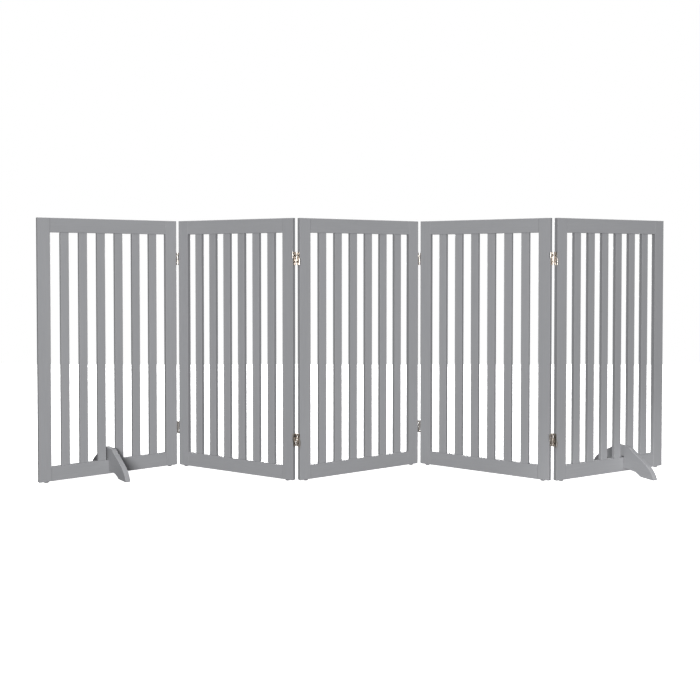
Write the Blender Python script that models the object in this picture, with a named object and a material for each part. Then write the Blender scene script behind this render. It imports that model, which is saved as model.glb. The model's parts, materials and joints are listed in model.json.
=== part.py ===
"""Five-panel folding pet gate, standing in a zig-zag, with two support feet and eight double-action hinges."""

import math

import bmesh
import bpy
from mathutils import Matrix, Vector

MM = 0.001

# Panel frame, in millimetres. Every panel is the same.
PANEL_WIDTH = 508.0
PANEL_HEIGHT = 910.0
PANEL_DEPTH = 16.0
STILE_WIDTH = 43.0
RAIL_HEIGHT = 50.0
SLAT_COUNT = 6
SLAT_WIDTH = 29.0
SLAT_DEPTH = 14.0
WOOD_EDGE = 1.0
FIT_GAP = 0.3

# The tongue strips that hold the slats in the grooves of the two rails.
TONGUE_DEPTH = 6.0
TONGUE_REACH = 8.0
TONGUE_DROP = 2.0

# Round glides under the stiles.
GLIDE_RADIUS = 7.9
GLIDE_HEIGHT = 4.0
GLIDE_FROM_EDGE = 27.0

# How each panel is turned at rest, in degrees about the vertical, from left to right.
PANEL_TURNS = (34.45, -29.75, 32.34, -32.94, 28.26)

# Double-action hinge. The front and back pins stand outside the two faces of the panels.
HINGE_GAP = 5.4
PIN_OUTSET = 3.4
HINGE_HEIGHT = 45.0
HINGE_INSET = 140.0
BARREL_RADIUS = 2.9
PIN_RADIUS = 1.2
EYE_RADIUS = 1.5
LEAF_THICKNESS = 1.4
LEAF_GAP = 0.25
NOTCH_DEPTH = 1.2
STRAP_THICKNESS = 1.3
ACCESS_RADIUS = 3.2
KNUCKLE_GAP = 0.35
HALF_GAP = 0.25
ROUND_SIDES = 12

# Support feet, which straddle the bottom rail in one gap between two slats. Their slots are loose,
# so each foot stands a little turned and a little off the middle of its gap.
FOOT_THICKNESS = 18.0
FOOT_SLOT_HALF_WIDTH = 9.0
FOOT_SLOT_TOP = 55.0
FOOT_EDGE = 1.2
FOOT_GAP_INDEX = {1: 3, 5: 4}
FOOT_TURN = {1: 3.0, 5: -2.0}
FOOT_SHIFT = {1: -1.0, 5: 5.0}
FOOT_TOP_CURVE = (
    (0.0, 92.0), (24.0, 92.0), (33.0, 90.6), (41.0, 87.0), (49.0, 81.6), (60.0, 75.4),
    (74.0, 68.0), (92.0, 58.8), (110.0, 48.4), (126.0, 37.4), (139.0, 26.0),
    (148.0, 15.0), (154.0, 3.0), (155.4, -1.6), (154.0, -3.6), (150.0, -4.0),
)
FOOT_SOLE_CURVE = ((97.0, -4.0), (90.0, -2.6), (80.0, 2.6), (68.0, 7.0), (54.0, 9.6), (40.0, 10.4))

WOOD_GREY = (0.30, 0.305, 0.325, 1.0)
NICKEL = (0.62, 0.60, 0.57, 1.0)

PIN_OFFSET = PANEL_DEPTH / 2 + PIN_OUTSET
SLAT_SPACE = (PANEL_WIDTH - 2 * STILE_WIDTH - SLAT_COUNT * SLAT_WIDTH) / (SLAT_COUNT + 1)


# ---------------------------------------------------------------- mesh helpers

def clear_scene():
    for item in list(bpy.data.objects):
        bpy.data.objects.remove(item, do_unlink=True)


def mesh_from(work, name):
    """Turn a working bmesh, in millimetres, into a mesh in metres."""
    bmesh.ops.transform(work, matrix=Matrix.Scale(MM, 4), verts=work.verts)
    bmesh.ops.recalc_face_normals(work, faces=work.faces)
    mesh = bpy.data.meshes.new(name)
    work.to_mesh(mesh)
    work.free()
    return mesh


def box_mesh(low, high, edge=0.0):
    """A box between two corners, its edges cut back by a small flat."""
    work = bmesh.new()
    bmesh.ops.create_cube(work, size=1.0)
    size = [b - a for a, b in zip(low, high)]
    middle = [(a + b) / 2 for a, b in zip(low, high)]
    bmesh.ops.transform(work, matrix=Matrix.Diagonal((*size, 1.0)), verts=work.verts)
    bmesh.ops.translate(work, vec=middle, verts=work.verts)
    if edge > 0:
        bmesh.ops.bevel(
            work, geom=list(work.edges), offset=edge, segments=1, affect="EDGES", profile=0.5
        )
    return mesh_from(work, "box")


def prism_mesh(outline, low, high, axis="Z", edge=0.0):
    """A flat outline pushed out along one axis. With axis X the outline is read as (y, z)."""
    work = bmesh.new()
    if axis == "Z":
        ring = [work.verts.new((x, y, low)) for x, y in outline]
        push = Vector((0, 0, high - low))
    else:
        ring = [work.verts.new((low, y, z)) for y, z in outline]
        push = Vector((high - low, 0, 0))
    base = work.faces.new(ring)
    pushed = bmesh.ops.extrude_face_region(work, geom=[base], use_keep_orig=True)
    moved = [item for item in pushed["geom"] if isinstance(item, bmesh.types.BMVert)]
    bmesh.ops.translate(work, vec=push, verts=moved)
    bmesh.ops.recalc_face_normals(work, faces=work.faces)
    if edge > 0:
        ends = [face for face in work.faces if len(face.verts) == len(outline)]
        rims = [rim for face in ends for rim in face.edges]
        bmesh.ops.bevel(work, geom=rims, offset=edge, segments=1, affect="EDGES", profile=0.5)
    return mesh_from(work, "prism")


def circle(centre, radius, sides=ROUND_SIDES):
    turns = [2 * math.pi * (step + 0.5) / sides for step in range(sides)]
    return [(centre[0] + radius * math.cos(a), centre[1] + radius * math.sin(a)) for a in turns]


def combine(base, tools, operation, name):
    """Join or cut meshes with exact Booleans and return the finished mesh."""
    body = bpy.data.objects.new(name, base)
    bpy.context.scene.collection.objects.link(body)
    helpers = []
    for tool in tools:
        helper = bpy.data.objects.new(name + "_tool", tool)
        bpy.context.scene.collection.objects.link(helper)
        helper.hide_render = True
        helper.display_type = "WIRE"
        helpers.append(helper)
        change = body.modifiers.new("shape", "BOOLEAN")
        change.operation = operation
        change.solver = "EXACT"
        change.object = helper
    graph = bpy.context.evaluated_depsgraph_get()
    finished = bpy.data.meshes.new_from_object(body.evaluated_get(graph), depsgraph=graph)
    finished.name = name
    for item in [body, *helpers]:
        bpy.data.objects.remove(item, do_unlink=True)
    return finished


# ---------------------------------------------------------------- shapes

def stile_mesh(glide_x):
    """One upright, with its round glide under it."""
    half = PANEL_DEPTH / 2
    wood = box_mesh((0, -half, 0), (STILE_WIDTH, half, PANEL_HEIGHT), WOOD_EDGE)
    glide = prism_mesh(circle((glide_x, 0), GLIDE_RADIUS, 20), -GLIDE_HEIGHT, 3.0)
    return combine(wood, [glide], "UNION", "stile")


def rail_mesh(groove_up):
    """One cross rail, with the groove that takes the tongues of the slats."""
    half = PANEL_DEPTH / 2
    length = PANEL_WIDTH - 2 * STILE_WIDTH - 2 * FIT_GAP
    wood = box_mesh((0, -half, 0), (length, half, RAIL_HEIGHT), WOOD_EDGE)
    side = TONGUE_DEPTH / 2 + FIT_GAP
    depth = TONGUE_REACH + FIT_GAP
    low_z = RAIL_HEIGHT - depth if groove_up else -5.0
    high_z = RAIL_HEIGHT + 5.0 if groove_up else depth
    groove = box_mesh((-5, -side, low_z), (length + 5, side, high_z))
    return combine(wood, [groove], "DIFFERENCE", "rail")


def slat_set_mesh():
    """The six slats of one panel, held at both ends by a strip that lies hidden in the rail's groove."""
    half = SLAT_DEPTH / 2
    low_z = RAIL_HEIGHT + FIT_GAP
    high_z = PANEL_HEIGHT - RAIL_HEIGHT - FIT_GAP
    tongue = TONGUE_DEPTH / 2
    slats = []
    tongues = []
    for index in range(SLAT_COUNT):
        left = SLAT_SPACE * (index + 1) + SLAT_WIDTH * index
        right = left + SLAT_WIDTH
        slats.append(prism_mesh(eased_corners(left, right, half, WOOD_EDGE), low_z, high_z))
        tongues.append(
            box_mesh(
                (left + 2, -tongue, RAIL_HEIGHT - TONGUE_REACH),
                (right - 2, tongue, PANEL_HEIGHT - RAIL_HEIGHT + TONGUE_REACH),
            )
        )
    start = SLAT_SPACE + 1.0
    end = SLAT_SPACE * SLAT_COUNT + SLAT_WIDTH * SLAT_COUNT - 1.0
    thin = tongue - 0.2
    strips = [
        box_mesh(
            (start, -thin, RAIL_HEIGHT - TONGUE_REACH + 0.4),
            (end, thin, RAIL_HEIGHT - TONGUE_DROP),
        ),
        box_mesh(
            (start, -thin, PANEL_HEIGHT - RAIL_HEIGHT + TONGUE_DROP),
            (end, thin, PANEL_HEIGHT - RAIL_HEIGHT + TONGUE_REACH - 0.4),
        ),
    ]
    return combine(slats[0], slats[1:] + tongues + strips, "UNION", "slats")


def eased_corners(left, right, half, edge):
    """The outline of a slat seen from above, its four corners cut back."""
    return [
        (left + edge, -half), (right - edge, -half), (right, -half + edge), (right, half - edge),
        (right - edge, half), (left + edge, half), (left, half - edge), (left, -half + edge),
    ]


def knuckle_spans():
    """Heights of the three knuckles of the upper half of a hinge, lowest first."""
    tall = (HINGE_HEIGHT / 2 - HALF_GAP - 2 * KNUCKLE_GAP) / 3
    low = HALF_GAP
    spans = []
    for _ in range(3):
        spans.append((low, low + tall))
        low += tall + KNUCKLE_GAP
    return spans


def leaf_mesh(pin_halves):
    """The leaf on the right-hand edge of a panel: front knuckles in its upper half, back knuckles in its lower half.

    The pins are fixed in the leaf's own knuckles, in the halves named. A notch leaves room for each strap's eye.
    """
    outer = -HINGE_GAP / 2 + LEAF_GAP
    inner = outer + LEAF_THICKNESS
    half = PANEL_DEPTH / 2
    plate = box_mesh((outer, -half, -HINGE_HEIGHT / 2), (inner, half, HINGE_HEIGHT / 2))
    low_knuckle, _, high_knuckle = knuckle_spans()
    pieces = []
    notches = []
    for half_name, side, sign in (("upper", -1, 1), ("lower", 1, -1)):
        pin_y = side * PIN_OFFSET
        for span in (low_knuckle, high_knuckle):
            low, high = sorted((sign * span[0], sign * span[1]))
            pieces.append(prism_mesh(circle((0, pin_y), BARREL_RADIUS), low, high))
            inside_y = side * (half - 1.0)
            reach = sorted((inside_y, pin_y))
            pieces.append(box_mesh((outer, reach[0], low), (inner, reach[1], high)))
        if half_name in pin_halves:
            low, high = sorted((sign * (low_knuckle[1] - 1), sign * (high_knuckle[0] + 1)))
            pieces.append(prism_mesh(circle((0, pin_y), PIN_RADIUS, 10), low, high))
        notch_low, notch_high = sorted((sign * low_knuckle[1], sign * high_knuckle[0]))
        notch_y = sorted((side * (half - NOTCH_DEPTH), side * (half + 0.5)))
        notches.append(
            box_mesh((outer - 1, notch_y[0], notch_low), (inner + 1, notch_y[1], notch_high))
        )
    joined = combine(plate, pieces, "UNION", "leaf")
    return combine(joined, notches, "DIFFERENCE", "leaf")


def strap_mesh():
    """A strap with a bored eye at each end and a hole for driving the screw behind it.

    Its origin is in one eye and the other lies behind it.
    """
    thin = STRAP_THICKNESS / 2
    low, high = knuckle_spans()[0][0], knuckle_spans()[2][1]
    eye_low, eye_high = knuckle_spans()[1]
    far_eye = 2 * PIN_OFFSET
    clear = BARREL_RADIUS + 0.45
    web = box_mesh((-thin, clear, low), (thin, far_eye - clear, high))
    pieces = []
    bores = []
    for pin_y, toward in ((0.0, 1), (far_eye, -1)):
        pieces.append(prism_mesh(circle((0, pin_y), BARREL_RADIUS), eye_low, eye_high))
        reach = sorted((pin_y + toward * (EYE_RADIUS + 0.6), pin_y + toward * (clear + 1.0)))
        pieces.append(box_mesh((-thin, reach[0], eye_low), (thin, reach[1], eye_high)))
        bores.append(prism_mesh(circle((0, pin_y), EYE_RADIUS), eye_low - 2, eye_high + 2))
    access = circle((far_eye / 2, (low + high) / 2), ACCESS_RADIUS)
    bores.append(prism_mesh(access, -thin - 2, thin + 2, axis="X"))
    joined = combine(web, pieces, "UNION", "strap")
    return combine(joined, bores, "DIFFERENCE", "strap")


def foot_mesh():
    """A support board with an arched sole and a slot that drops over the bottom rail."""
    arch = FOOT_SOLE_CURVE[-1][1]
    slot = [(FOOT_SLOT_HALF_WIDTH, arch), (FOOT_SLOT_HALF_WIDTH, FOOT_SLOT_TOP)]
    half = list(FOOT_TOP_CURVE[1:]) + list(FOOT_SOLE_CURVE) + slot
    other = [(-y, z) for y, z in reversed(half)]
    return prism_mesh(
        half + other, -FOOT_THICKNESS / 2, FOOT_THICKNESS / 2, axis="X", edge=FOOT_EDGE
    )


# ---------------------------------------------------------------- layout

def turned(vector, degrees):
    angle = math.radians(degrees)
    x, y = vector
    return (
        x * math.cos(angle) - y * math.sin(angle),
        x * math.sin(angle) + y * math.cos(angle),
    )


def shifted(point, local, degrees):
    dx, dy = turned(local, degrees)
    return (point[0] + dx, point[1] + dy)


def folded_side(joint):
    """Joints 1 and 3 are folded about their front pins (-1), joints 2 and 4 about their back pins (+1)."""
    return -1 if joint % 2 == 1 else 1


def main_half(joint):
    """The half of the hinge that holds the strap from the folded pin to the child panel."""
    return "upper" if joint in (2, 3) else "lower"


def panel_origins():
    """The left end of each panel's middle line, found by stepping outwards from panel 3 across each folded pin."""
    origins = {3: shifted((0.0, 0.0), (-PANEL_WIDTH / 2, 0.0), PANEL_TURNS[2])}
    for panel in (4, 5):
        side = folded_side(panel - 1)
        pin_local = (PANEL_WIDTH + HINGE_GAP / 2, side * PIN_OFFSET)
        pin = shifted(origins[panel - 1], pin_local, PANEL_TURNS[panel - 2])
        back_local = (HINGE_GAP / 2, -side * PIN_OFFSET)
        origins[panel] = shifted(pin, back_local, PANEL_TURNS[panel - 1])
    for panel in (2, 1):
        side = folded_side(panel)
        pin = shifted(
            origins[panel + 1], (-HINGE_GAP / 2, side * PIN_OFFSET), PANEL_TURNS[panel]
        )
        back_local = (-PANEL_WIDTH - HINGE_GAP / 2, -side * PIN_OFFSET)
        origins[panel] = shifted(pin, back_local, PANEL_TURNS[panel - 1])
    return origins


def new_material(name, colour, metallic, roughness):
    material = bpy.data.materials.new(name)
    material.use_nodes = True
    shader = material.node_tree.nodes["Principled BSDF"]
    shader.inputs["Base Color"].default_value = colour
    shader.inputs["Metallic"].default_value = metallic
    shader.inputs["Roughness"].default_value = roughness
    material.diffuse_color = colour
    return material


def new_pivot(name, spot):
    pivot = bpy.data.objects.new(name, None)
    pivot.empty_display_size = 0.04
    pivot.location = (spot[0] * MM, spot[1] * MM, 0.0)
    bpy.context.scene.collection.objects.link(pivot)
    return pivot


def new_piece(name, mesh, spot, height, degrees, parent, metal=False):
    """Place a copy of a mesh at a spot in millimetres, under its panel's or strap's pivot."""
    piece = bpy.data.objects.new(name, mesh.copy())
    piece.data.name = name
    colour, metallic, roughness = (NICKEL, 1.0, 0.3) if metal else (WOOD_GREY, 0.0, 0.55)
    piece.data.materials.clear()
    piece.data.materials.append(new_material(name + "_finish", colour, metallic, roughness))
    bpy.context.scene.collection.objects.link(piece)
    piece.location = (spot[0] * MM, spot[1] * MM, (height + GLIDE_HEIGHT) * MM)
    piece.rotation_euler = (0.0, 0.0, math.radians(degrees))
    if parent is not None:
        piece.parent = parent
        piece.matrix_parent_inverse = Matrix.Translation(-parent.location)
    return piece


def hinge_heights():
    return {"low": HINGE_INSET, "high": PANEL_HEIGHT - HINGE_INSET}


def build_panel(panel, origin, pivot, meshes):
    turn = PANEL_TURNS[panel - 1]
    start = f"panel_{panel}"
    new_piece(start + "_stile_left", meshes["stile_left"], origin, 0.0, turn, pivot)
    right = shifted(origin, (PANEL_WIDTH - STILE_WIDTH, 0.0), turn)
    new_piece(start + "_stile_right", meshes["stile_right"], right, 0.0, turn, pivot)
    rail = shifted(origin, (STILE_WIDTH + FIT_GAP, 0.0), turn)
    new_piece(start + "_rail_bottom", meshes["rail_bottom"], rail, 0.0, turn, pivot)
    top = PANEL_HEIGHT - RAIL_HEIGHT
    new_piece(start + "_rail_top", meshes["rail_top"], rail, top, turn, pivot)
    slats = shifted(origin, (STILE_WIDTH, 0.0), turn)
    new_piece(start + "_slats", meshes["slats"], slats, 0.0, turn, pivot)
    build_leaves(panel, origin, turn, pivot, meshes)


def leaf_kind(joint, nearer_middle):
    """The leaf nearer to panel 3 carries both pins. The other one carries only the pin of the main strap."""
    return "leaf_two_pins" if nearer_middle else "leaf_" + main_half(joint) + "_pin"


def build_leaves(panel, origin, turn, pivot, meshes):
    """The leaves on this panel's two edges."""
    for level, height in hinge_heights().items():
        if panel < 5:
            kind = leaf_kind(panel, panel >= 3)
            spot = shifted(origin, (PANEL_WIDTH + HINGE_GAP / 2, 0.0), turn)
            name = f"hinge_{panel}_{level}_leaf_left"
            new_piece(name, meshes[kind], spot, height, turn, pivot, metal=True)
        if panel > 1:
            kind = leaf_kind(panel - 1, panel <= 3)
            spot = shifted(origin, (-HINGE_GAP / 2, 0.0), turn)
            name = f"hinge_{panel - 1}_{level}_leaf_right"
            new_piece(name, meshes[kind], spot, height, turn + 180.0, pivot, metal=True)


def joint_spots(joint, origins):
    """Where the folded pin stands, and where the parent panel's other pin stands, with both panels' turns."""
    parent, child = (joint, joint + 1) if joint >= 3 else (joint + 1, joint)
    edge = PANEL_WIDTH + HINGE_GAP / 2 if joint >= 3 else -HINGE_GAP / 2
    side = folded_side(joint)
    parent_turn = PANEL_TURNS[parent - 1]
    folded = shifted(origins[parent], (edge, side * PIN_OFFSET), parent_turn)
    resting = shifted(origins[parent], (edge, -side * PIN_OFFSET), parent_turn)
    return folded, resting, parent_turn, PANEL_TURNS[child - 1]


def build_straps(joint, origins, meshes):
    """The main strap leads from the folded pin to the child panel. The crossing strap stays with the parent."""
    folded, resting, parent_turn, child_turn = joint_spots(joint, origins)
    side = folded_side(joint)
    half_of_main = main_half(joint)
    half_of_cross = "lower" if half_of_main == "upper" else "upper"
    lower_drop = knuckle_spans()[0][0] + knuckle_spans()[2][1]
    parts = (("main", half_of_main, folded, child_turn, side),
             ("cross", half_of_cross, resting, parent_turn, -side))
    for role, half, spot, turn, near in parts:
        pivot = new_pivot(f"joint_{joint}_{role}_pivot", spot)
        facing = turn if near < 0 else turn + 180.0
        for level, height in hinge_heights().items():
            drop = lower_drop if half == "lower" else 0.0
            name = f"hinge_{joint}_{level}_strap_{half}"
            new_piece(name, meshes["strap"], spot, height - drop, facing, pivot, metal=True)


def panel_pivot_spot(panel, origins):
    """Panel 3 is the base. Every other panel turns on the pin that its main strap brings to it."""
    if panel == 3:
        return origins[3]
    joint = panel if panel < 3 else panel - 1
    side = folded_side(joint)
    edge = PANEL_WIDTH + HINGE_GAP / 2 if panel < 3 else -HINGE_GAP / 2
    return shifted(origins[panel], (edge, -side * PIN_OFFSET), PANEL_TURNS[panel - 1])


def build_feet(origins, meshes):
    for panel, gap in FOOT_GAP_INDEX.items():
        along = STILE_WIDTH + SLAT_SPACE * (gap + 0.5) + SLAT_WIDTH * gap + FOOT_SHIFT[panel]
        turn = PANEL_TURNS[panel - 1]
        spot = shifted(origins[panel], (along, 0.0), turn)
        new_piece(f"panel_{panel}_foot", meshes["foot"], spot, 0.0, turn + FOOT_TURN[panel], None)


def build_meshes():
    return {
        "stile_left": stile_mesh(GLIDE_FROM_EDGE),
        "stile_right": stile_mesh(STILE_WIDTH - GLIDE_FROM_EDGE),
        "rail_bottom": rail_mesh(groove_up=True),
        "rail_top": rail_mesh(groove_up=False),
        "slats": slat_set_mesh(),
        "leaf_two_pins": leaf_mesh(("upper", "lower")),
        "leaf_upper_pin": leaf_mesh(("upper",)),
        "leaf_lower_pin": leaf_mesh(("lower",)),
        "strap": strap_mesh(),
        "foot": foot_mesh(),
    }


def centre_on_floor():
    """Move the whole gate so that the middle of its bounding box stands over the origin."""
    bpy.context.view_layer.update()
    solids = [item for item in bpy.data.objects if item.type == "MESH"]
    corners = [item.matrix_world @ vertex.co for item in solids for vertex in item.data.vertices]
    middle_x = (min(c.x for c in corners) + max(c.x for c in corners)) / 2
    middle_y = (min(c.y for c in corners) + max(c.y for c in corners)) / 2
    for item in bpy.data.objects:
        if item.parent is None:
            item.location.x -= middle_x
            item.location.y -= middle_y
    bpy.context.view_layer.update()


def main():
    clear_scene()
    meshes = build_meshes()
    origins = panel_origins()
    for panel in range(1, 6):
        pivot = new_pivot(f"panel_{panel}_pivot", panel_pivot_spot(panel, origins))
        build_panel(panel, origins[panel], pivot, meshes)
    for joint in range(1, 5):
        build_straps(joint, origins, meshes)
    build_feet(origins, meshes)
    centre_on_floor()


main()
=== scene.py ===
"""Looks of the folding pet gate: painted wood, nickel hinges, studio and camera.

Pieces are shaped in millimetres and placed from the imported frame, which is in metres.
"""
import json
import math

import bmesh
import bpy
from mathutils import Matrix, Vector

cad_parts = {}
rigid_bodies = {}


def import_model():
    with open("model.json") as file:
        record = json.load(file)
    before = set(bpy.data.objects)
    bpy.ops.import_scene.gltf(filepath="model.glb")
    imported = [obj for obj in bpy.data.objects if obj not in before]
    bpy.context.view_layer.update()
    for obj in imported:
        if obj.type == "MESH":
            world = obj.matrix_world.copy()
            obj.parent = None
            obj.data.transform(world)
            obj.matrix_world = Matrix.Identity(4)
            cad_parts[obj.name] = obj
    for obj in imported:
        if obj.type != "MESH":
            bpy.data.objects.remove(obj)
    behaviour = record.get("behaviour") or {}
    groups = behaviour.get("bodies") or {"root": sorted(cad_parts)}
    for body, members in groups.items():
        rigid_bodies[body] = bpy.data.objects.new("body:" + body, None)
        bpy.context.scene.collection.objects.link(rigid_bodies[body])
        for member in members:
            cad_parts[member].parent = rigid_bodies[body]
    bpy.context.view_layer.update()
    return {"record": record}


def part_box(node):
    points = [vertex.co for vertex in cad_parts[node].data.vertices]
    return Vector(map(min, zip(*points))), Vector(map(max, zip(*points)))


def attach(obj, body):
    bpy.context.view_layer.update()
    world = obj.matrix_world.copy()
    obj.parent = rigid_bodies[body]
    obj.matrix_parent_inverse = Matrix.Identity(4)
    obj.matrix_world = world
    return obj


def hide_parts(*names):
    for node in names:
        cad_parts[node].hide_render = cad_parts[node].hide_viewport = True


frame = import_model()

MM = 0.001
TINY = 1e-6
PANELS = range(1, 6)
JOINTS = range(1, 5)
LEVELS = ("low", "high")
X, Y, Z = 0, 1, 2

# Wood, in millimetres, with the sizes that it has in the frame.
PANEL_WIDTH = 508.0
PANEL_HEIGHT = 910.0
PANEL_DEPTH = 16.0
STILE_WIDTH = 43.0
RAIL_HEIGHT = 50.0
SLAT_COUNT = 6
SLAT_WIDTH = 29.0
SLAT_DEPTH = 14.0
SLAT_SPACE = (PANEL_WIDTH - 2 * STILE_WIDTH - SLAT_COUNT * SLAT_WIDTH) / (SLAT_COUNT + 1)
FIT_GAP = 0.3

# Tongues on the slats and mortises in the rails.
TONGUE_WIDTH = 25.0
TONGUE_DEPTH = 6.0
TONGUE_LENGTH = 8.0
TONGUE_CORNER = 0.7
TONGUE_END_ROUNDING = 0.5
MORTISE_CLEARANCE = 0.3
MORTISE_CORNER = 1.0

# Rounding of edges. At sharp corners the inward direction is at most 1 / LEAST_CORNER_COSINE long.
WOOD_ROUNDING = 0.9
END_ROUNDING = 0.35
STILE_END_ROUNDING = 2 * END_ROUNDING
CORNER_STEPS = 4
LEAST_CORNER_COSINE = 0.35

# Boolean cutters: their own rounding, and how far they stand out of what they cut.
CUTTER_ROUNDING = 0.1
CUTTER_OVERSHOOT = 3.0
CUTTER_SIDES = 24

# Glides: a domed disc with a rim, and a nail in a shallow well.
GLIDE_RADIUS = 7.9
GLIDE_HEIGHT = 4.0
GLIDE_RIM = 0.5
GLIDE_WELL_RADIUS = 3.2
GLIDE_NAIL_RADIUS = 2.3
GLIDE_FROM_EDGE = 27.0

# Feet. A curve is half of an outline: how far out from the middle, how high above the panel's underside.
FOOT_THICKNESS = 18.0
FOOT_SLOT_HALF = 9.0
FOOT_SLOT_TOP = 55.0
FOOT_ROUNDING = 1.5
FOOT_TURN = {1: 3.0, 5: -2.0}
FOOT_TOP_CURVE = (
    (24.0, 92.0), (33.0, 90.6), (41.0, 87.0), (49.0, 81.6), (60.0, 75.4),
    (74.0, 68.0), (92.0, 58.8), (110.0, 48.4), (126.0, 37.4), (139.0, 26.0),
    (148.0, 15.0), (154.0, 3.0), (155.4, -1.6), (154.0, -3.6), (150.0, -4.0),
)
FOOT_SOLE_CURVE = ((97.0, -4.0), (90.0, -2.6), (80.0, 2.6), (68.0, 7.0), (54.0, 9.6), (40.0, 10.4))

# Hinge leaves and straps. A strap's bands start a hair off its middle, on the side that they curl to.
HINGE_GAP = 5.4
HINGE_HEIGHT = 45.0
PIN_OFFSET = PANEL_DEPTH / 2 + 3.4
BARREL_RADIUS = 2.9
LEAF_THICKNESS = 1.4
LEAF_GAP = 0.25
STRAP_THICKNESS = 1.3
STRAP_TO_EYE = 0.45
STRAP_OFF_CENTRE = 0.001
NOTCH_DEPTH = 1.2
NOTCH_REACH = 6.0
NOTCH_CORNER = 0.3
KNUCKLE_COUNT = 3
KNUCKLE_GAP = 0.35
HALF_GAP = 0.25
METAL_ROUNDING = 0.22
PLATE_CORNER = 0.8

# How a sheet curls round its pin: a short straight neck, then an almost closed turn.
CURL_DEGREES = 318.0
CURL_STEPS = 18
NECK_STRAIGHT = 1.0
NECK_BEFORE_PIN = 1.6
NECK_OVERLAP = 2.0

# Pins: a dome is given as shares of the pin's radius and of the dome's height, from its top outwards.
PIN_RADIUS = 1.3
PIN_DOME = 0.45
PIN_START = 0.3
PIN_CHAMFER = 0.1
PIN_SIDES = 20
DOME_SHAPE = ((0.0, 1.0), (0.6, 0.8), (0.92, 0.3))

# Screws, their countersinks in the leaves, the holes over them in the straps, and their cross recesses.
SCREW_HEAD_RADIUS = 2.9
SCREW_SHANK_RADIUS = 1.6
SCREW_THREAD_GAP = 0.25
SCREW_LENGTH = 12.0
SCREW_PROUD = 0.12
SCREW_SIDES = 32
SINK_DEPTH = 1.0
SINK_LIP = 0.05
SINK_CLEARANCE = 0.1
ACCESS_RADIUS = 3.2
RECESS_LENGTH = 3.3
RECESS_WIDTH = 0.75
RECESS_THICKNESS = 0.9
RECESS_DEPTH = 0.3
RECESS_ROUNDING = 0.05
RECESS_CORNER = 0.2

# Colours.
PAINT = (0.285, 0.288, 0.300)
RUBBED_PAINT = (0.42, 0.42, 0.43)
RUBBED_SHARE = 0.12
NICKEL = (0.50, 0.465, 0.43)
# The screws are nearly black. This is partly their own dark steel and partly painted shade for the shaded
# recesses round the screw heads.
SCREW_STEEL_AND_PAINTED_SHADE = (0.05, 0.042, 0.038)
GLIDE_COLOUR = (0.16, 0.16, 0.17)
FLOOR_COLOUR = (0.94, 0.94, 0.94)
WHITE = (1.0, 1.0, 1.0)

# Each piece has its own number, spread evenly over a range. It shifts its pattern and sets its tone.
NUMBER_STEP = 0.618034
NUMBER_RANGE = 9.0
PATTERN_SHIFT = (1.7, 2.3, 3.1)
TONE_STEP = 7.13
TONE_SPAN = 0.03
TONE_LOWEST = 0.985

# Floor, in millimetres, and how brightly it and the world glow.
FLOOR_SIZE = (9000.0, 7000.0)
FLOOR_CORNER = 400.0
FLOOR_TOP = -0.2
FLOOR_UNDERSIDE = -12.0
FLOOR_ROUNDING = 4.0
FLOOR_FIBRE_SHADE = 0.985
FLOOR_GLOW = 0.93
AMBIENT = 0.06

# Lamps: place, point looked at, width and height in metres, watts, spread in degrees, shadows or not.
# The front and back lamps light the gate evenly from afar. The low one lifts the right-hand foot.
LAMPS = {
    "front_light": ((0.1, -12.0, 2.2), (0.0, 0.0, 0.45), (4.6, 2.8), 1640.0, 180.0, True),
    "top_light": ((0.0, 0.0, 4.0), (0.0, 0.0, 0.0), (13.0, 11.0), 260.0, 60.0, True),
    "back_light": ((-0.1, 12.0, 2.2), (0.0, 0.0, 0.45), (4.6, 2.8), 1590.0, 180.0, True),
    "low_light": ((-1.0, -2.9, 0.12), (1.08, 0.0, -0.06), (0.3, 0.15), 0.32, 12.0, False),
}

# Camera: place in metres, pitch in degrees, lens and sensor in millimetres, shift as a share of the frame
# width.
CAMERA_SPOT = (-0.0437, -3.2654, 0.7603)
CAMERA_PITCH = -1.272
CAMERA_LENS = 46.7
CAMERA_SENSOR = 36.0
CAMERA_SHIFT = -0.09625


# ---------------------------------------------------------------- mesh helpers

def rounded_rectangle(width, height, radius, steps=CORNER_STEPS):
    """Points of a rectangle about the origin with rounded corners, and how worn each point is."""
    points = []
    wear = []
    for corner in range(4):
        sign_x = 1 if corner in (0, 3) else -1
        sign_y = 1 if corner in (0, 1) else -1
        centre = (sign_x * (width / 2 - radius), sign_y * (height / 2 - radius))
        for step in range(steps + 1):
            angle = math.radians(90.0 * (corner + step / steps))
            points.append((centre[0] + radius * math.cos(angle), centre[1] + radius * math.sin(angle)))
            wear.append(0.0 if step in (0, steps) else 1.0)
    return points, wear


def circle_points(radius, sides):
    turns = [2 * math.pi * side / sides for side in range(sides)]
    return [(radius * math.cos(turn), radius * math.sin(turn)) for turn in turns]


def inward_normals(points):
    """Inward directions of a counter-clockwise outline, longer at corners so that edges stay parallel."""
    normals = []
    count = len(points)
    for index in range(count):
        before = Vector(points[index]) - Vector(points[index - 1])
        after = Vector(points[(index + 1) % count]) - Vector(points[index])
        side_a = Vector((-before.y, before.x)).normalized()
        side_b = Vector((-after.y, after.x)).normalized()
        inward = side_a + side_b
        if inward.length < TINY:
            inward = side_a
        inward.normalize()
        normals.append(inward / max(inward.dot(side_b), LEAST_CORNER_COSINE))
    return normals


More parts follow.
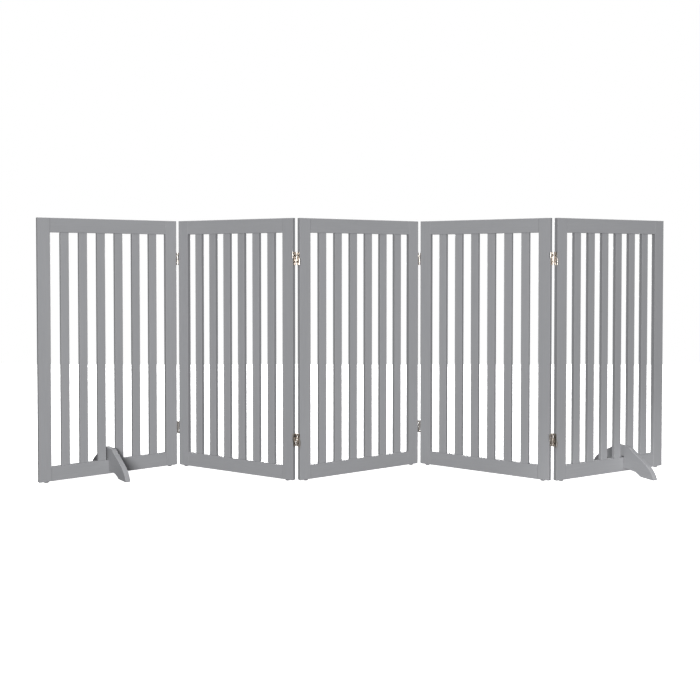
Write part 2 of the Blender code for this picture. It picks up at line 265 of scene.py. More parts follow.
def rounded_prism(outline, low, high, radius, steps=3, wear=None):
    """A counter-clockwise outline pushed up from low to high, with both rims rounded."""
    work = bmesh.new()
    layer = work.verts.layers.float.new("wear")
    normals = inward_normals(outline)
    wear = wear or [0.0] * len(outline)
    rings = []
    for step in range(steps + 1):
        angle = math.radians(90.0 * step / steps)
        rings.append((radius * (1 - math.sin(angle)), low + radius * (1 - math.cos(angle)), step))
    for step in range(steps, -1, -1):
        angle = math.radians(90.0 * step / steps)
        rings.append((radius * (1 - math.sin(angle)), high - radius * (1 - math.cos(angle)), step))
    made = []
    for inset, height, step in rings:
        ring = []
        for point, normal, worn in zip(outline, normals, wear):
            vertex = work.verts.new((point[0] + normal.x * inset, point[1] + normal.y * inset, height))
            vertex[layer] = 1.0 if 0 < step < steps else worn
            ring.append(vertex)
        made.append(ring)
    count = len(outline)
    for lower, upper in zip(made, made[1:]):
        for index in range(count):
            after = (index + 1) % count
            work.faces.new((lower[index], lower[after], upper[after], upper[index]))
    work.faces.new(list(reversed(made[0])))
    work.faces.new(made[-1])
    return work


def lathe(profile, sides=28):
    """A closed solid turned about Z from (radius, height) pairs that start and end on the axis."""
    work = bmesh.new()
    work.verts.layers.float.new("wear")
    rings = []
    for radius, height in profile:
        if radius < TINY:
            rings.append([work.verts.new((0.0, 0.0, height))])
        else:
            rings.append([work.verts.new((x, y, height)) for x, y in circle_points(radius, sides)])
    for lower, upper in zip(rings, rings[1:]):
        for side in range(sides):
            after = (side + 1) % sides
            corners = [lower[side % len(lower)], lower[after % len(lower)],
                       upper[after % len(upper)], upper[side % len(upper)]]
            work.faces.new(list(dict.fromkeys(corners)))
    bmesh.ops.recalc_face_normals(work, faces=work.faces)
    return work


def turned(work, axis, degrees):
    bmesh.ops.transform(work, matrix=Matrix.Rotation(math.radians(degrees), 4, axis), verts=work.verts)
    return work


def moved(work, offset):
    bmesh.ops.translate(work, vec=Vector(offset), verts=work.verts)
    return work


def faced_along_x(work):
    """Turn a shape that was pushed up along Z to lie along X, with its outline in Y and Z."""
    swap = Matrix(((0, 0, 1, 0), (1, 0, 0, 0), (0, 1, 0, 0), (0, 0, 0, 1)))
    bmesh.ops.transform(work, matrix=swap, verts=work.verts)
    return work


def to_mesh(work, name):
    """Turn a working bmesh in millimetres into a smooth-shaded mesh in metres."""
    bmesh.ops.transform(work, matrix=Matrix.Scale(MM, 4), verts=work.verts)
    bmesh.ops.recalc_face_normals(work, faces=work.faces)
    mesh = bpy.data.meshes.new(name)
    work.to_mesh(mesh)
    work.free()
    mesh.shade_smooth()
    return mesh


def combine(base, steps, name):
    """Add or cut meshes one after another with exact Booleans and return the finished mesh."""
    body = bpy.data.objects.new(name, base)
    bpy.context.scene.collection.objects.link(body)
    helpers = []
    for operation, tool in steps:
        helper = bpy.data.objects.new(name + "_tool", tool)
        bpy.context.scene.collection.objects.link(helper)
        helpers.append(helper)
        change = body.modifiers.new("shape", "BOOLEAN")
        change.operation = operation
        change.solver = "EXACT"
        change.object = helper
    graph = bpy.context.evaluated_depsgraph_get()
    finished = bpy.data.meshes.new_from_object(body.evaluated_get(graph), depsgraph=graph)
    finished.name = name
    for item in [body, *helpers]:
        bpy.data.objects.remove(item, do_unlink=True)
    return finished


# ---------------------------------------------------------------- wood shapes

def stile_mesh():
    """An upright from its left edge, with its foot at the origin."""
    outline, wear = rounded_rectangle(STILE_WIDTH, PANEL_DEPTH, WOOD_ROUNDING)
    work = rounded_prism(outline, 0.0, PANEL_HEIGHT, STILE_END_ROUNDING, 3, wear)
    return to_mesh(moved(work, (STILE_WIDTH / 2, 0, 0)), "stile")


def slat_middle(index):
    """How far a slat's middle line is from the inner edge of the left stile."""
    return SLAT_SPACE * (index + 1) + SLAT_WIDTH * (index + 0.5)


def mortise(index, low, high):
    """The cutter for one slat's mortise in a rail."""
    width = TONGUE_WIDTH + 2 * MORTISE_CLEARANCE
    depth = TONGUE_DEPTH + 2 * MORTISE_CLEARANCE
    outline, _ = rounded_rectangle(width, depth, MORTISE_CORNER, 2)
    cutter = rounded_prism(outline, low, high, CUTTER_ROUNDING, 1)
    return to_mesh(moved(cutter, (slat_middle(index) - FIT_GAP, 0, 0)), "mortise")


def rail_mesh(facing_up):
    """A cross rail that starts at its left end, with a mortise for each slat."""
    length = PANEL_WIDTH - 2 * STILE_WIDTH - 2 * FIT_GAP
    outline, wear = rounded_rectangle(RAIL_HEIGHT, PANEL_DEPTH, WOOD_ROUNDING)
    work = rounded_prism(outline, 0.0, length, END_ROUNDING, 2, wear)
    turned(work, "Y", 90)
    moved(work, (0, 0, RAIL_HEIGHT / 2))
    depth = TONGUE_LENGTH + MORTISE_CLEARANCE
    low, high = -CUTTER_OVERSHOOT, depth
    if facing_up:
        low, high = RAIL_HEIGHT - depth, RAIL_HEIGHT + CUTTER_OVERSHOOT
    cuts = [("DIFFERENCE", mortise(index, low, high)) for index in range(SLAT_COUNT)]
    return combine(to_mesh(work, "rail"), cuts, "rail")


def slat_mesh():
    """One slat with a tongue at each end, about its own middle line, from the bottom rail upwards."""
    outline, wear = rounded_rectangle(SLAT_WIDTH, SLAT_DEPTH, WOOD_ROUNDING)
    low, high = RAIL_HEIGHT + FIT_GAP, PANEL_HEIGHT - RAIL_HEIGHT - FIT_GAP
    body = to_mesh(rounded_prism(outline, low, high, END_ROUNDING, 2, wear), "slat")
    outline, _ = rounded_rectangle(TONGUE_WIDTH, TONGUE_DEPTH, TONGUE_CORNER, 2)
    low, high = RAIL_HEIGHT - TONGUE_LENGTH, PANEL_HEIGHT - RAIL_HEIGHT + TONGUE_LENGTH
    tongue = to_mesh(rounded_prism(outline, low, high, TONGUE_END_ROUNDING, 2), "tongue")
    return combine(body, [("UNION", tongue)], "slat")


def smooth_curve(points, steps=4):
    """More points on a Catmull-Rom curve that passes through the given ones."""
    ends = [points[0], *points, points[-1]]
    finer = []
    for four in zip(ends, ends[1:], ends[2:], ends[3:]):
        for step in range(steps):
            t = step / steps
            finer.append(tuple(
                0.5 * (2 * q + (r - p) * t + (2 * p - 5 * q + 4 * r - s) * t ** 2
                       + (3 * q - p - 3 * r + s) * t ** 3)
                for p, q, r, s in zip(*four)
            ))
    return [*finer, tuple(points[-1])]


def foot_mesh():
    """The support board: an arched sole, a slot for the bottom rail and softened edges."""
    top = smooth_curve(FOOT_TOP_CURVE)
    sole = smooth_curve(FOOT_SOLE_CURVE)
    arch = FOOT_SOLE_CURVE[-1][1]
    half = [*top, *sole, (FOOT_SLOT_HALF, arch), (FOOT_SLOT_HALF, FOOT_SLOT_TOP)]
    mirrored = [(-y, z) for y, z in reversed(half)]
    outline = list(reversed(half + mirrored))
    work = rounded_prism(outline, -FOOT_THICKNESS / 2, FOOT_THICKNESS / 2, FOOT_ROUNDING, 4)
    return to_mesh(faced_along_x(work), "foot")


def glide_mesh():
    """A nail-on glide: a domed disc with a shallow well round its nail."""
    r, h, rim = GLIDE_RADIUS, GLIDE_HEIGHT, GLIDE_RIM
    top = [(0.0, 0.0), (r - rim, 0.0), (r, -rim)]
    dome = [(r, -2.2), (r - rim, -3.2), (r - 1.6, -3.8), (r - 3.0, -h)]
    well = [(GLIDE_WELL_RADIUS, -h), (2.8, -3.7), (2.6, -2.9)]
    nail = [(GLIDE_NAIL_RADIUS, -2.7), (1.2, -3.0), (0.0, -3.1)]
    return to_mesh(lathe(top + dome + well + nail), "glide")


# ---------------------------------------------------------------- hinge shapes

def knuckle_spans():
    """Heights of the three knuckles of the upper half of a hinge, lowest first."""
    tall = (HINGE_HEIGHT / 2 - HALF_GAP - (KNUCKLE_COUNT - 1) * KNUCKLE_GAP) / KNUCKLE_COUNT
    starts = [HALF_GAP + index * (tall + KNUCKLE_GAP) for index in range(KNUCKLE_COUNT)]
    return [(start, start + tall) for start in starts]


def rolled_band(start_y, start_x, pin_y, thickness):
    """Outline of a sheet that leaves a plate at start_y and curls round the pin, almost closed."""
    away = 1 if pin_y > start_y else -1
    radius = BARREL_RADIUS - thickness / 2
    path = [(start_x, start_y), (start_x, start_y + away * NECK_STRAIGHT)]
    side = -1 if start_x <= 0 else 1
    first = 180.0 if side < 0 else 0.0
    sweep = -side * away
    path.append(((start_x + side * radius) / 2, pin_y - away * NECK_BEFORE_PIN))
    for step in range(CURL_STEPS + 1):
        angle = math.radians(first - sweep * CURL_DEGREES * step / CURL_STEPS)
        path.append((radius * math.cos(angle), pin_y + radius * math.sin(angle)))
    return banded(path, thickness)


def banded(path, thickness):
    """The counter-clockwise outline of a line given a thickness."""
    left, right = [], []
    for index, point in enumerate(path):
        before = Vector(path[max(index - 1, 0)])
        after = Vector(path[min(index + 1, len(path) - 1)])
        along = (after - before).normalized()
        across = Vector((-along.y, along.x)) * thickness / 2
        left.append(tuple(Vector(point) + across))
        right.append(tuple(Vector(point) - across))
    outline = right + list(reversed(left))
    area = sum(a[0] * b[1] - b[0] * a[1] for a, b in zip(outline, outline[1:] + outline[:1]))
    return outline if area > 0 else list(reversed(outline))


def plate_mesh(width, height, thickness, centre, rounding=METAL_ROUNDING, corner=PLATE_CORNER):
    """A thin plate that faces X, with softened edges."""
    outline, wear = rounded_rectangle(width, height, corner, 3)
    work = rounded_prism(outline, -thickness / 2, thickness / 2, rounding, 2, wear)
    return to_mesh(moved(faced_along_x(work), centre), "plate")


def turned_cutter(profile, centre):
    """A turned cutter whose axis lies along X."""
    return to_mesh(moved(turned(lathe(profile, CUTTER_SIDES), "Y", 90), centre), "cutter")


def screw_heights():
    """Heights of a leaf's two screws from the middle of the hinge."""
    spans = knuckle_spans()
    height = (spans[0][0] + spans[2][1]) / 2
    return {"upper": height, "lower": -height}


def leaf_mesh():
    """The leaf on the right-hand end of a panel: rolled knuckles in front above, and behind below."""
    outer = -HINGE_GAP / 2 + LEAF_GAP
    middle_x = outer + LEAF_THICKNESS / 2
    inner = outer + LEAF_THICKNESS
    half = PANEL_DEPTH / 2
    low_knuckle, _, high_knuckle = knuckle_spans()
    steps = []
    for side, sign in ((-1, 1), (1, -1)):
        band = rolled_band(side * (half - NECK_OVERLAP), middle_x, side * PIN_OFFSET, LEAF_THICKNESS)
        for span in (low_knuckle, high_knuckle):
            low, high = sorted((sign * span[0], sign * span[1]))
            knuckle = rounded_prism(band, low, high, METAL_ROUNDING, 2)
            steps.append(("UNION", to_mesh(knuckle, "knuckle")))
        low, high = sorted((sign * low_knuckle[1], sign * high_knuckle[0]))
        spot = (middle_x, side * half, (low + high) / 2)
        notch = plate_mesh(2 * NOTCH_DEPTH, high - low, NOTCH_REACH, spot, CUTTER_ROUNDING, NOTCH_CORNER)
        steps.append(("DIFFERENCE", notch))
    mouth = SCREW_HEAD_RADIUS + SINK_CLEARANCE
    bottom = [(0.0, -2 * SINK_DEPTH), (SCREW_SHANK_RADIUS, -2 * SINK_DEPTH)]
    cone = [(SCREW_SHANK_RADIUS, -SINK_DEPTH), (mouth, SINK_LIP), (mouth, SINK_DEPTH), (0.0, SINK_DEPTH)]
    for height in screw_heights().values():
        steps.append(("DIFFERENCE", turned_cutter(bottom + cone, (inner, 0, height))))
    base = plate_mesh(PANEL_DEPTH, HINGE_HEIGHT, LEAF_THICKNESS, (middle_x, 0, 0))
    return combine(base, steps, "leaf")


def strap_mesh():
    """The strap of a hinge's upper half: a plate between two rolled eyes, with a hole over the screw."""
    spans = knuckle_spans()
    low, high = spans[0][0], spans[2][1]
    eye_low, eye_high = spans[1]
    far = 2 * PIN_OFFSET
    clear = BARREL_RADIUS + STRAP_TO_EYE
    height = high - low
    centre = (0, far / 2, (low + high) / 2)
    steps = []
    for pin_y, from_y, hand in ((0.0, clear + NECK_OVERLAP, -1), (far, far - clear - NECK_OVERLAP, 1)):
        band = rolled_band(from_y, hand * STRAP_OFF_CENTRE, pin_y, STRAP_THICKNESS)
        eye = rounded_prism(band, eye_low, eye_high, METAL_ROUNDING, 2)
        steps.append(("UNION", to_mesh(eye, "eye")))
    reach = CUTTER_OVERSHOOT
    hole = [(0.0, -reach), (ACCESS_RADIUS, -reach), (ACCESS_RADIUS, reach), (0.0, reach)]
    steps.append(("DIFFERENCE", turned_cutter(hole, centre)))
    base = plate_mesh(far - 2 * clear, height, STRAP_THICKNESS, centre)
    return combine(base, steps, "strap")


def pin_shape(low, high):
    """A hinge pin with a low dome on each end."""
    below = [(PIN_RADIUS * out, low - PIN_DOME * up) for out, up in DOME_SHAPE]
    above = [(PIN_RADIUS * out, high + PIN_DOME * up) for out, up in reversed(DOME_SHAPE)]
    sides = [(PIN_RADIUS, low + PIN_CHAMFER), (PIN_RADIUS, high - PIN_CHAMFER)]
    return lathe(below + sides + above, PIN_SIDES)


def pins_mesh(whole):
    """A pin of the upper half: one rod, or two stubs where the crossing strap's eye stays free."""
    low_knuckle, _, high_knuckle = knuckle_spans()
    if whole:
        return to_mesh(pin_shape(low_knuckle[0] + PIN_START, high_knuckle[1]), "pin")
    work = pin_shape(low_knuckle[0] + PIN_START, low_knuckle[1] - PIN_DOME)
    other = to_mesh(pin_shape(high_knuckle[0] + PIN_DOME, high_knuckle[1]), "stub")
    bmesh.ops.transform(work, matrix=Matrix.Scale(MM, 4), verts=work.verts)
    work.from_mesh(other)
    mesh = bpy.data.meshes.new("stubs")
    work.to_mesh(mesh)
    work.free()
    mesh.shade_smooth()
    return mesh


def screw_mesh():
    """A countersunk screw along +X with a cross recess in its head."""
    r = SCREW_HEAD_RADIUS
    thin = SCREW_SHANK_RADIUS - SCREW_THREAD_GAP
    shank = [(0.0, -SCREW_LENGTH), (0.5, -11.2), (thin * 0.8, -8.0), (thin, -3.0), (thin, -1.2)]
    cone = [(r - 0.12, -0.12), (r, 0.0)]
    crown = [(r - 0.25, SCREW_PROUD * 0.6), (r * 0.5, SCREW_PROUD), (0.0, SCREW_PROUD)]
    body = to_mesh(turned(lathe(shank + cone + crown, SCREW_SIDES), "Y", 90), "screw")
    size = (RECESS_LENGTH, RECESS_WIDTH, RECESS_THICKNESS)
    centre = (SCREW_PROUD - RECESS_DEPTH, 0, 0)
    cuts = []
    for degrees in (0, 90):
        slot = plate_mesh(*size, centre, RECESS_ROUNDING, RECESS_CORNER)
        slot.transform(Matrix.Rotation(math.radians(degrees), 4, "X"))
        cuts.append(("DIFFERENCE", slot))
    return combine(body, cuts, "screw")


# ---------------------------------------------------------------- materials

def node(tree, kind, links=(), **settings):
    """Add a shader node, set the inputs or properties named, and link (input, socket) pairs into it."""
    made = tree.nodes.new(kind)
    for key, value in settings.items():
        if key.title() in made.inputs:
            made.inputs[key.title()].default_value = value
        else:
            setattr(made, key, value)
    for name, source in links:
        tree.links.new(source, made.inputs[name])
    return made


def grey(value):
    return (value, value, value, 1.0)


def ramp(tree, source, low, high):
    """A colour ramp between two stops: each is a position with a colour or the level of a grey."""
    made = tree.nodes.new("ShaderNodeValToRGB")
    for element, (position, colour) in zip(made.color_ramp.elements, (low, high)):
        element.position = position
        element.color = grey(colour) if isinstance(colour, float) else colour
    tree.links.new(source, made.inputs["Fac"])
    return made.outputs["Color"]


def feed(tree, made, values):
    """Put each (input number, socket or plain value) into a node."""
    for index, value in values:
        if isinstance(value, bpy.types.NodeSocket):
            tree.links.new(value, made.inputs[index])
        else:
            made.inputs[index].default_value = value


def mixed(tree, factor, first, second, mode="MIX"):
    """Two colours mixed or multiplied. The node has its factor at input 0 and its colours at 6 and 7."""
    made = tree.nodes.new("ShaderNodeMix")
    made.data_type = "RGBA"
    made.blend_type = mode
    feed(tree, made, ((0, factor), (6, first), (7, second)))
    return made.outputs[2]


def maths(tree, operation, *values):
    made = tree.nodes.new("ShaderNodeMath")
    made.operation = operation
    feed(tree, made, enumerate(values))
    return made.outputs[0]


def weighted_sum(tree, *parts):
    """The sum of (socket, weight) pairs."""
    total, *rest = [maths(tree, "MULTIPLY", socket, weight) for socket, weight in parts]
    for part in rest:
        total = maths(tree, "ADD", total, part)
    return total


def new_material(name, colour, metallic, roughness):
    material = bpy.data.materials.new(name)
    material.use_nodes = True
    material.diffuse_color = colour
    shader = material.node_tree.nodes["Principled BSDF"]
    shader.inputs["Base Color"].default_value = colour
    shader.inputs["Metallic"].default_value = metallic
    shader.inputs["Roughness"].default_value = roughness
    return material, material.node_tree, shader


def stretched(tree, source, axis, scale, detail, rough, stretch=1.0):
    """Noise with so many lumps to the metre, drawn out along one axis of the piece."""
    scales = [scale] * 3
    scales[axis] = scale / stretch
    mapping = node(tree, "ShaderNodeMapping", [("Vector", source)])
    mapping.inputs["Scale"].default_value = scales
    return node(
        tree, "ShaderNodeTexNoise", [("Vector", mapping.outputs["Vector"])],
        scale=1.0, detail=detail, roughness=rough,
    ).outputs["Fac"]


def piece_space(tree):
    """The piece's coordinates, shifted by its number so that no two pieces carry the same pattern."""
    place = tree.nodes.new("ShaderNodeTexCoord").outputs["Object"]
    number = tree.nodes.new("ShaderNodeAttribute")
    number.attribute_name = "piece_number"
    shift = node(tree, "ShaderNodeVectorMath", [(0, number.outputs["Fac"])], operation="MULTIPLY")
    shift.inputs[1].default_value = PATTERN_SHIFT
    return node(
        tree, "ShaderNodeVectorMath", [(0, place), (1, shift.outputs["Vector"])], operation="ADD"
    ).outputs["Vector"], number.outputs["Fac"]


def add_bump(tree, shader, height, strength, distance):
    bump = node(tree, "ShaderNodeBump", [("Height", height)], strength=strength, distance=distance)
    tree.links.new(bump.outputs["Normal"], shader.inputs["Normal"])


def painted_wood(name, long_axis):
    """Satin grey paint over wood: faint grain shows through, and edges are rubbed a little lighter."""
    colour = (*PAINT, 1.0)
    material, tree, shader = new_material(name, colour, metallic=0.0, roughness=0.5)
    space, number = piece_space(tree)
    broad = stretched(tree, space, long_axis, scale=9.0, detail=3.0, rough=0.5, stretch=5.0)
    streaks = stretched(tree, space, long_axis, scale=420.0, detail=4.0, rough=0.6, stretch=30.0)
    pores = stretched(tree, space, long_axis, scale=1500.0, detail=2.0, rough=0.6, stretch=22.0)
    dimples = stretched(tree, space, long_axis, scale=900.0, detail=2.0, rough=0.5)

    # Colour: broad changes of tone, grain streaks, and a tone of each piece's own.
    tone = ramp(tree, broad, (0.3, 0.975), (0.7, 1.02))
    streak_tone = ramp(tree, streaks, (0.35, 0.965), (0.62, 1.02))
    shade = mixed(tree, 1.0, tone, streak_tone, "MULTIPLY")
    own_share = maths(tree, "FRACT", maths(tree, "MULTIPLY", number, TONE_STEP))
    own_tone = maths(tree, "MULTIPLY_ADD", own_share, TONE_SPAN, TONE_LOWEST)
    shade = mixed(tree, 1.0, shade, own_tone, "MULTIPLY")
    painted = mixed(tree, 1.0, colour, shade, "MULTIPLY")

    # Wear, in patches along the rounded edges only.
    worn = tree.nodes.new("ShaderNodeAttribute")
    worn.attribute_name = "wear"
    patchiness = stretched(tree, space, long_axis, scale=60.0, detail=3.0, rough=0.6, stretch=3.0)
    patches = ramp(tree, patchiness, (0.45, 0.0), (0.75, 1.0))
    rubbed = maths(tree, "MULTIPLY", worn.outputs["Fac"], patches)
    rubbed = maths(tree, "MULTIPLY", rubbed, RUBBED_SHARE)
    tree.links.new(mixed(tree, rubbed, painted, (*RUBBED_PAINT, 1.0)), shader.inputs["Base Color"])

    # Gloss and relief: the dimples of a sprayed coat over the grain.
    tree.links.new(ramp(tree, dimples, (0.3, 0.46), (0.7, 0.6)), shader.inputs["Roughness"])
    relief = weighted_sum(tree, (streaks, 0.5), (pores, 0.3), (dimples, 0.25))
    add_bump(tree, shader, relief, strength=0.16, distance=0.0003)
    return material


def plated_metal(name, colour, low_gloss, high_gloss):
    """Bare or plated steel: fine upright rubbing marks, small changes of gloss and duller spots."""
    colour = (*colour, 1.0)
    middle_gloss = (low_gloss + high_gloss) / 2
    material, tree, shader = new_material(name, colour, metallic=1.0, roughness=middle_gloss)
    space, _ = piece_space(tree)
    marks = stretched(tree, space, Z, scale=2600.0, detail=3.0, rough=0.6, stretch=14.0)
    spots = stretched(tree, space, Z, scale=260.0, detail=4.0, rough=0.6)
    tone = ramp(tree, spots, (0.3, 0.93), (0.65, 1.04))
    tree.links.new(mixed(tree, 1.0, colour, tone, "MULTIPLY"), shader.inputs["Base Color"])
    blend = weighted_sum(tree, (marks, 0.6), (spots, 0.4))
    tree.links.new(ramp(tree, blend, (0.3, low_gloss), (0.7, high_gloss)), shader.inputs["Roughness"])
    add_bump(tree, shader, marks, strength=0.05, distance=0.0001)
    return material


def moulded_plastic(name, colour):
    """Grey nylon with a fine moulded texture, scuffed where it slides on the floor."""
    colour = (*colour, 1.0)
    material, tree, shader = new_material(name, colour, metallic=0.0, roughness=0.55)
    space, _ = piece_space(tree)
    texture = stretched(tree, space, Z, scale=2200.0, detail=3.0, rough=0.6)
    scuffs = stretched(tree, space, X, scale=700.0, detail=4.0, rough=0.7, stretch=12.0)
    tone = ramp(tree, scuffs, (0.35, 0.85), (0.7, 1.1))
    tree.links.new(mixed(tree, 1.0, colour, tone, "MULTIPLY"), shader.inputs["Base Color"])
    tree.links.new(ramp(tree, scuffs, (0.3, 0.45), (0.7, 0.7)), shader.inputs["Roughness"])
    add_bump(tree, shader, texture, strength=0.3, distance=0.0002)
    return material


# ---------------------------------------------------------------- placing

def node_middle(name):
    """The middle of a CAD node's box."""
    low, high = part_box(name)
    return (low + high) / 2


def panel_axes(panel):
    """From a panel's own axes (x along it from its left edge, y through it, z up) to the scene."""
    left = node_middle(f"panel_{panel}_stile_left")
    right = node_middle(f"panel_{panel}_stile_right")
    along = Vector((right.x - left.x, right.y - left.y, 0.0)).normalized()
    start = left - along * (STILE_WIDTH / 2 * MM)
    start.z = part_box(f"panel_{panel}_rail_bottom")[0].z
    return Matrix.Translation(start) @ Matrix.Rotation(math.atan2(along.y, along.x), 4, "Z")


def at(x, y, z):
    return Matrix.Translation(Vector((x, y, z)) * MM)


def about_up(degrees):
    return Matrix.Rotation(math.radians(degrees), 4, "Z")


def fill_attribute(mesh, name, value):
    """Give every point of a mesh the same value."""
    layer = mesh.attributes.new(name, "FLOAT", "POINT")
    layer.data.foreach_set("value", [value] * len(mesh.vertices))


class Placer:
    """Puts finished pieces in the scene, numbers them and ties each to its body."""

    def __init__(self, bodies):
        self.body_of = {name: body for body, names in bodies.items() for name in names}
        self.count = 0

    def place(self, name, mesh, matrix, material, like, stands_for=True, slot=None):
        """A copy of the mesh that rides on the body of the CAD node it is like, and may stand for it."""
        self.count += 1
        piece = bpy.data.objects.new(name, mesh.copy())
        piece.data.name = name
        bpy.context.scene.collection.objects.link(piece)
        piece.data.materials.clear()
        piece.data.materials.append(material)
        fill_attribute(piece.data, "piece_number", self.count * NUMBER_STEP % 1.0 * NUMBER_RANGE)
        if "wear" not in piece.data.attributes:
            fill_attribute(piece.data, "wear", 0.0)
        piece.matrix_world = matrix
        even = piece.modifiers.new("even_shading", "WEIGHTED_NORMAL")
        even.keep_sharp = True
        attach(piece, self.body_of[like])
        if stands_for:
            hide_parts(like)


def build_panel(placer, panel, shapes, materials):
    """Two uprights with their glides, two cross rails and six slats."""
    axes = panel_axes(panel)
    glide_spots = {"left": GLIDE_FROM_EDGE, "right": PANEL_WIDTH - GLIDE_FROM_EDGE}
    for side, x in (("left", 0.0), ("right", PANEL_WIDTH - STILE_WIDTH)):
        like = f"panel_{panel}_stile_{side}"
        name = f"upright_{panel}_{side}"
        matrix = axes @ at(x, 0, 0)
        placer.place(name, shapes["stile"], matrix, materials["upright"], like, slot="painted_wood")
        matrix = axes @ at(glide_spots[side], 0, 0)
        placer.place(f"glide_{panel}_{side}", shapes["glide"], matrix, materials["plastic"], like)
    for end, z in (("bottom", 0.0), ("top", PANEL_HEIGHT - RAIL_HEIGHT)):
        like = f"panel_{panel}_rail_{end}"
        name = f"crossrail_{panel}_{end}"
        matrix = axes @ at(STILE_WIDTH + FIT_GAP, 0, z)
        placer.place(name, shapes[end], matrix, materials["level"], like, slot="painted_wood")
    like = f"panel_{panel}_slats"
    for index in range(SLAT_COUNT):
        name = f"slat_{panel}_{index + 1}"
        matrix = axes @ at(STILE_WIDTH + slat_middle(index), 0, 0)
        placer.place(name, shapes["slat"], matrix, materials["upright"], like, slot="painted_wood")


def build_wood(placer):
    materials = {
        "upright": painted_wood("paint_on_uprights", Z),
        "level": painted_wood("paint_on_rails", X),
        "across": painted_wood("paint_on_feet", Y),
        "plastic": moulded_plastic("glide_plastic", GLIDE_COLOUR),
    }
    shapes = {
        "stile": stile_mesh(),
        "slat": slat_mesh(),
        "glide": glide_mesh(),
        "foot": foot_mesh(),
        "bottom": rail_mesh(facing_up=True),
        "top": rail_mesh(facing_up=False),
    }
    for panel in PANELS:
        build_panel(placer, panel, shapes, materials)
    for panel, turn in FOOT_TURN.items():
        like = f"panel_{panel}_foot"
        matrix = panel_axes(panel) @ about_up(turn)
        spot = node_middle(like)
        matrix.translation = Vector((spot.x, spot.y, matrix.translation.z))
        name = f"support_foot_{panel}"
        placer.place(name, shapes["foot"], matrix, materials["across"], like, slot="painted_wood")


def joint_data(joint):
    """From the record: the panel that carries a joint's straps, its three pin places, its strap halves."""
    joints = frame["record"]["behaviour"]["joints"]
    rows = [row for row in joints if row["name"].startswith(f"joint_{joint}_")]
    cross = next(row for row in rows if row["name"].endswith("_cross_strap"))
    folds = [row for row in rows if row["name"].endswith("_fold")]
    main = next(row for row in folds if row["child"].startswith("hinge_"))
    far = next(row for row in folds if row["parent"].startswith("hinge_"))
    return {
        "parent": main["parent"],
        "folded": Vector(main["pos_m"]),
        "resting": Vector(cross["pos_m"]),
        "far": Vector(far["pos_m"]),
        "main_half": main["child"].rsplit("_", 1)[1],
        "cross_half": cross["child"].rsplit("_", 1)[1],
    }


def strap_axes(start, end, height):
    """From a strap's own axes (origin at one pin, y towards the other) to the scene."""
    toward = end - start
    turn = math.atan2(toward.y, toward.x) - math.pi / 2
    return Matrix.Translation((start.x, start.y, height)) @ Matrix.Rotation(turn, 4, "Z")


def build_leaf(placer, joint, level, side, data, shapes, materials):
    """One leaf with its two screws and the pins that it holds."""
    like = f"hinge_{joint}_{level}_leaf_{side}"
    panel = joint if side == "left" else joint + 1
    edge = PANEL_WIDTH + HINGE_GAP / 2 if side == "left" else -HINGE_GAP / 2
    matrix = panel_axes(panel) @ at(edge, 0, 0) @ about_up(0 if side == "left" else 180)
    matrix.translation.z = node_middle(f"hinge_{joint}_{level}_leaf_left").z
    label = f"{joint}_{level}_{side}"
    placer.place("leaf_" + label, shapes["leaf"], matrix, materials["nickel"], like, slot="nickel")
    inner = -HINGE_GAP / 2 + LEAF_GAP + LEAF_THICKNESS
    for half, z in screw_heights().items():
        name = f"screw_{label}_{half}"
        spot = matrix @ at(inner, 0, z)
        placer.place(name, shapes["screw"], spot, materials["steel"], like, False, "nickel")
    for half, pin_y, flip in (("upper", -PIN_OFFSET, 0), ("lower", PIN_OFFSET, 180)):
        whole = data["parent"] == f"panel_{panel}" or half == data["main_half"]
        name = f"pin_{label}_{half}"
        spot = matrix @ at(0, pin_y, 0) @ Matrix.Rotation(math.radians(flip), 4, "X")
        shape = shapes["rod" if whole else "stubs"]
        placer.place(name, shape, spot, materials["nickel"], like, False, "nickel")


def build_straps(placer, joint, level, data, shapes, materials):
    """The two straps of a hinge, which cross."""
    height = node_middle(f"hinge_{joint}_{level}_leaf_left").z
    main = (data["main_half"], data["folded"], data["far"])
    cross = (data["cross_half"], data["resting"], data["folded"])
    for half, begin, end in (main, cross):
        matrix = strap_axes(begin, end, height)
        if half == "lower":
            matrix = matrix @ Matrix.Rotation(math.pi, 4, "Y")
        like = f"hinge_{joint}_{level}_strap_{half}"
        name = f"strap_{joint}_{level}_{half}"
        placer.place(name, shapes["strap"], matrix, materials["nickel"], like, slot="nickel")


def build_hinges(placer):
    materials = {
        "nickel": plated_metal("nickel_plate", NICKEL, low_gloss=0.24, high_gloss=0.38),
        # Nearly black screws: partly their own dark steel, partly painted shade for the shaded screw
        # recesses.
        "steel": plated_metal("screw_steel_and_painted_shade", SCREW_STEEL_AND_PAINTED_SHADE, low_gloss=0.3, high_gloss=0.5),
    }
    shapes = {
        "leaf": leaf_mesh(),
        "strap": strap_mesh(),
        "screw": screw_mesh(),
        "rod": pins_mesh(whole=True),
        "stubs": pins_mesh(whole=False),
    }
    for joint in JOINTS:
        data = joint_data(joint)
        for level in LEVELS:
            for side in ("left", "right"):
                build_leaf(placer, joint, level, side, data, shapes, materials)
            build_straps(placer, joint, level, data, shapes, materials)


# ---------------------------------------------------------------- studio

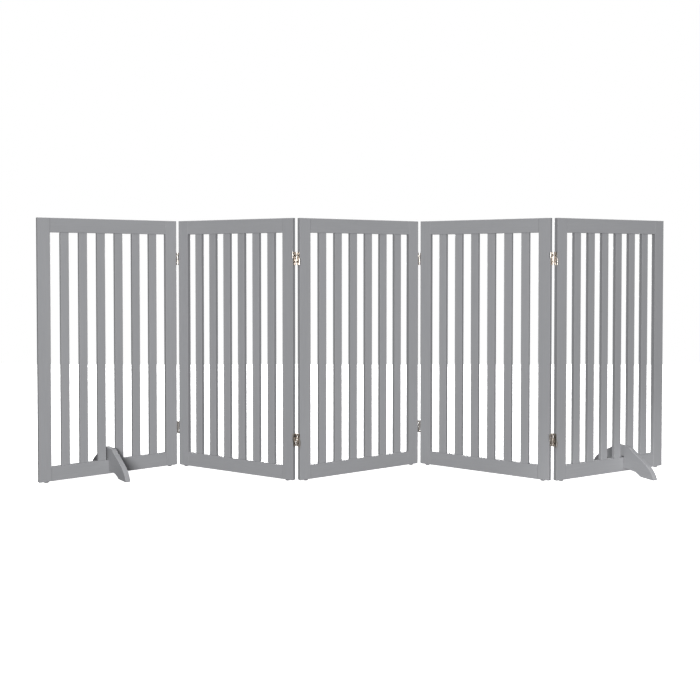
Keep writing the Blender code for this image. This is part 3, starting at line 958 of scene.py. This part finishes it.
def build_world():
    """A white backdrop to the eye, and a weak even light on the object."""
    world = bpy.data.worlds.new("studio")
    bpy.context.scene.world = world
    world.use_nodes = True
    tree = world.node_tree
    tree.nodes.clear()
    seen = node(tree, "ShaderNodeBackground", color=(*WHITE, 1.0), strength=1.0)
    lit = node(tree, "ShaderNodeBackground", color=(*WHITE, 1.0), strength=AMBIENT)
    rays = tree.nodes.new("ShaderNodeLightPath")
    both = tree.nodes.new("ShaderNodeMixShader")
    tree.links.new(rays.outputs["Is Camera Ray"], both.inputs[0])
    tree.links.new(lit.outputs[0], both.inputs[1])
    tree.links.new(seen.outputs[0], both.inputs[2])
    output = tree.nodes.new("ShaderNodeOutputWorld")
    tree.links.new(both.outputs[0], output.inputs["Surface"])


def build_lamp(name, spot, target, size, power, spread, shadows):
    """A rectangular area lamp that faces its target."""
    lamp = bpy.data.lights.new(name, "AREA")
    lamp.shape = "RECTANGLE"
    lamp.size, lamp.size_y = size
    lamp.energy = power
    lamp.spread = math.radians(spread)
    lamp.use_shadow = shadows
    light = bpy.data.objects.new(name, lamp)
    bpy.context.scene.collection.objects.link(light)
    light.location = spot
    light.rotation_mode = "QUATERNION"
    light.rotation_quaternion = (Vector(target) - Vector(spot)).to_track_quat("-Z", "Y")


def build_floor():
    """A pale sheet that glows, so that shadows on it almost vanish, but puts no light on the gate."""
    outline, _ = rounded_rectangle(*FLOOR_SIZE, FLOOR_CORNER, 12)
    mesh = to_mesh(rounded_prism(outline, FLOOR_UNDERSIDE, FLOOR_TOP, FLOOR_ROUNDING, 2), "floor")
    floor = bpy.data.objects.new("floor", mesh)
    bpy.context.scene.collection.objects.link(floor)
    colour = (*FLOOR_COLOUR, 1.0)
    material, tree, shader = new_material("floor_paper", colour, metallic=0.0, roughness=0.9)
    place = tree.nodes.new("ShaderNodeTexCoord").outputs["Object"]
    fibre = stretched(tree, place, X, scale=60.0, detail=3.0, rough=0.5)
    darker = (*[part * FLOOR_FIBRE_SHADE for part in FLOOR_COLOUR], 1.0)
    tone = ramp(tree, fibre, (0.2, colour), (0.8, darker))
    tree.links.new(tone, shader.inputs["Base Color"])
    shader.inputs["Emission Color"].default_value = (*WHITE, 1.0)
    shader.inputs["Emission Strength"].default_value = FLOOR_GLOW
    mesh.materials.append(material)
    floor.visible_diffuse = False
    floor.visible_glossy = False


def build_camera():
    """The camera at the viewing angle of the picture that the gate is matched to."""
    data = bpy.data.cameras.new("camera")
    data.lens = CAMERA_LENS
    data.sensor_width = CAMERA_SENSOR
    data.shift_y = CAMERA_SHIFT
    camera = bpy.data.objects.new("camera", data)
    bpy.context.scene.collection.objects.link(camera)
    camera.location = CAMERA_SPOT
    camera.rotation_euler = (math.radians(90.0 + CAMERA_PITCH), 0.0, 0.0)
    bpy.context.scene.camera = camera


def main():
    bpy.context.scene.view_settings.view_transform = "Standard"
    placer = Placer(frame["record"]["behaviour"]["bodies"])
    build_wood(placer)
    build_hinges(placer)
    build_world()
    build_floor()
    for name, settings in LAMPS.items():
        build_lamp(name, *settings)
    build_camera()


main()
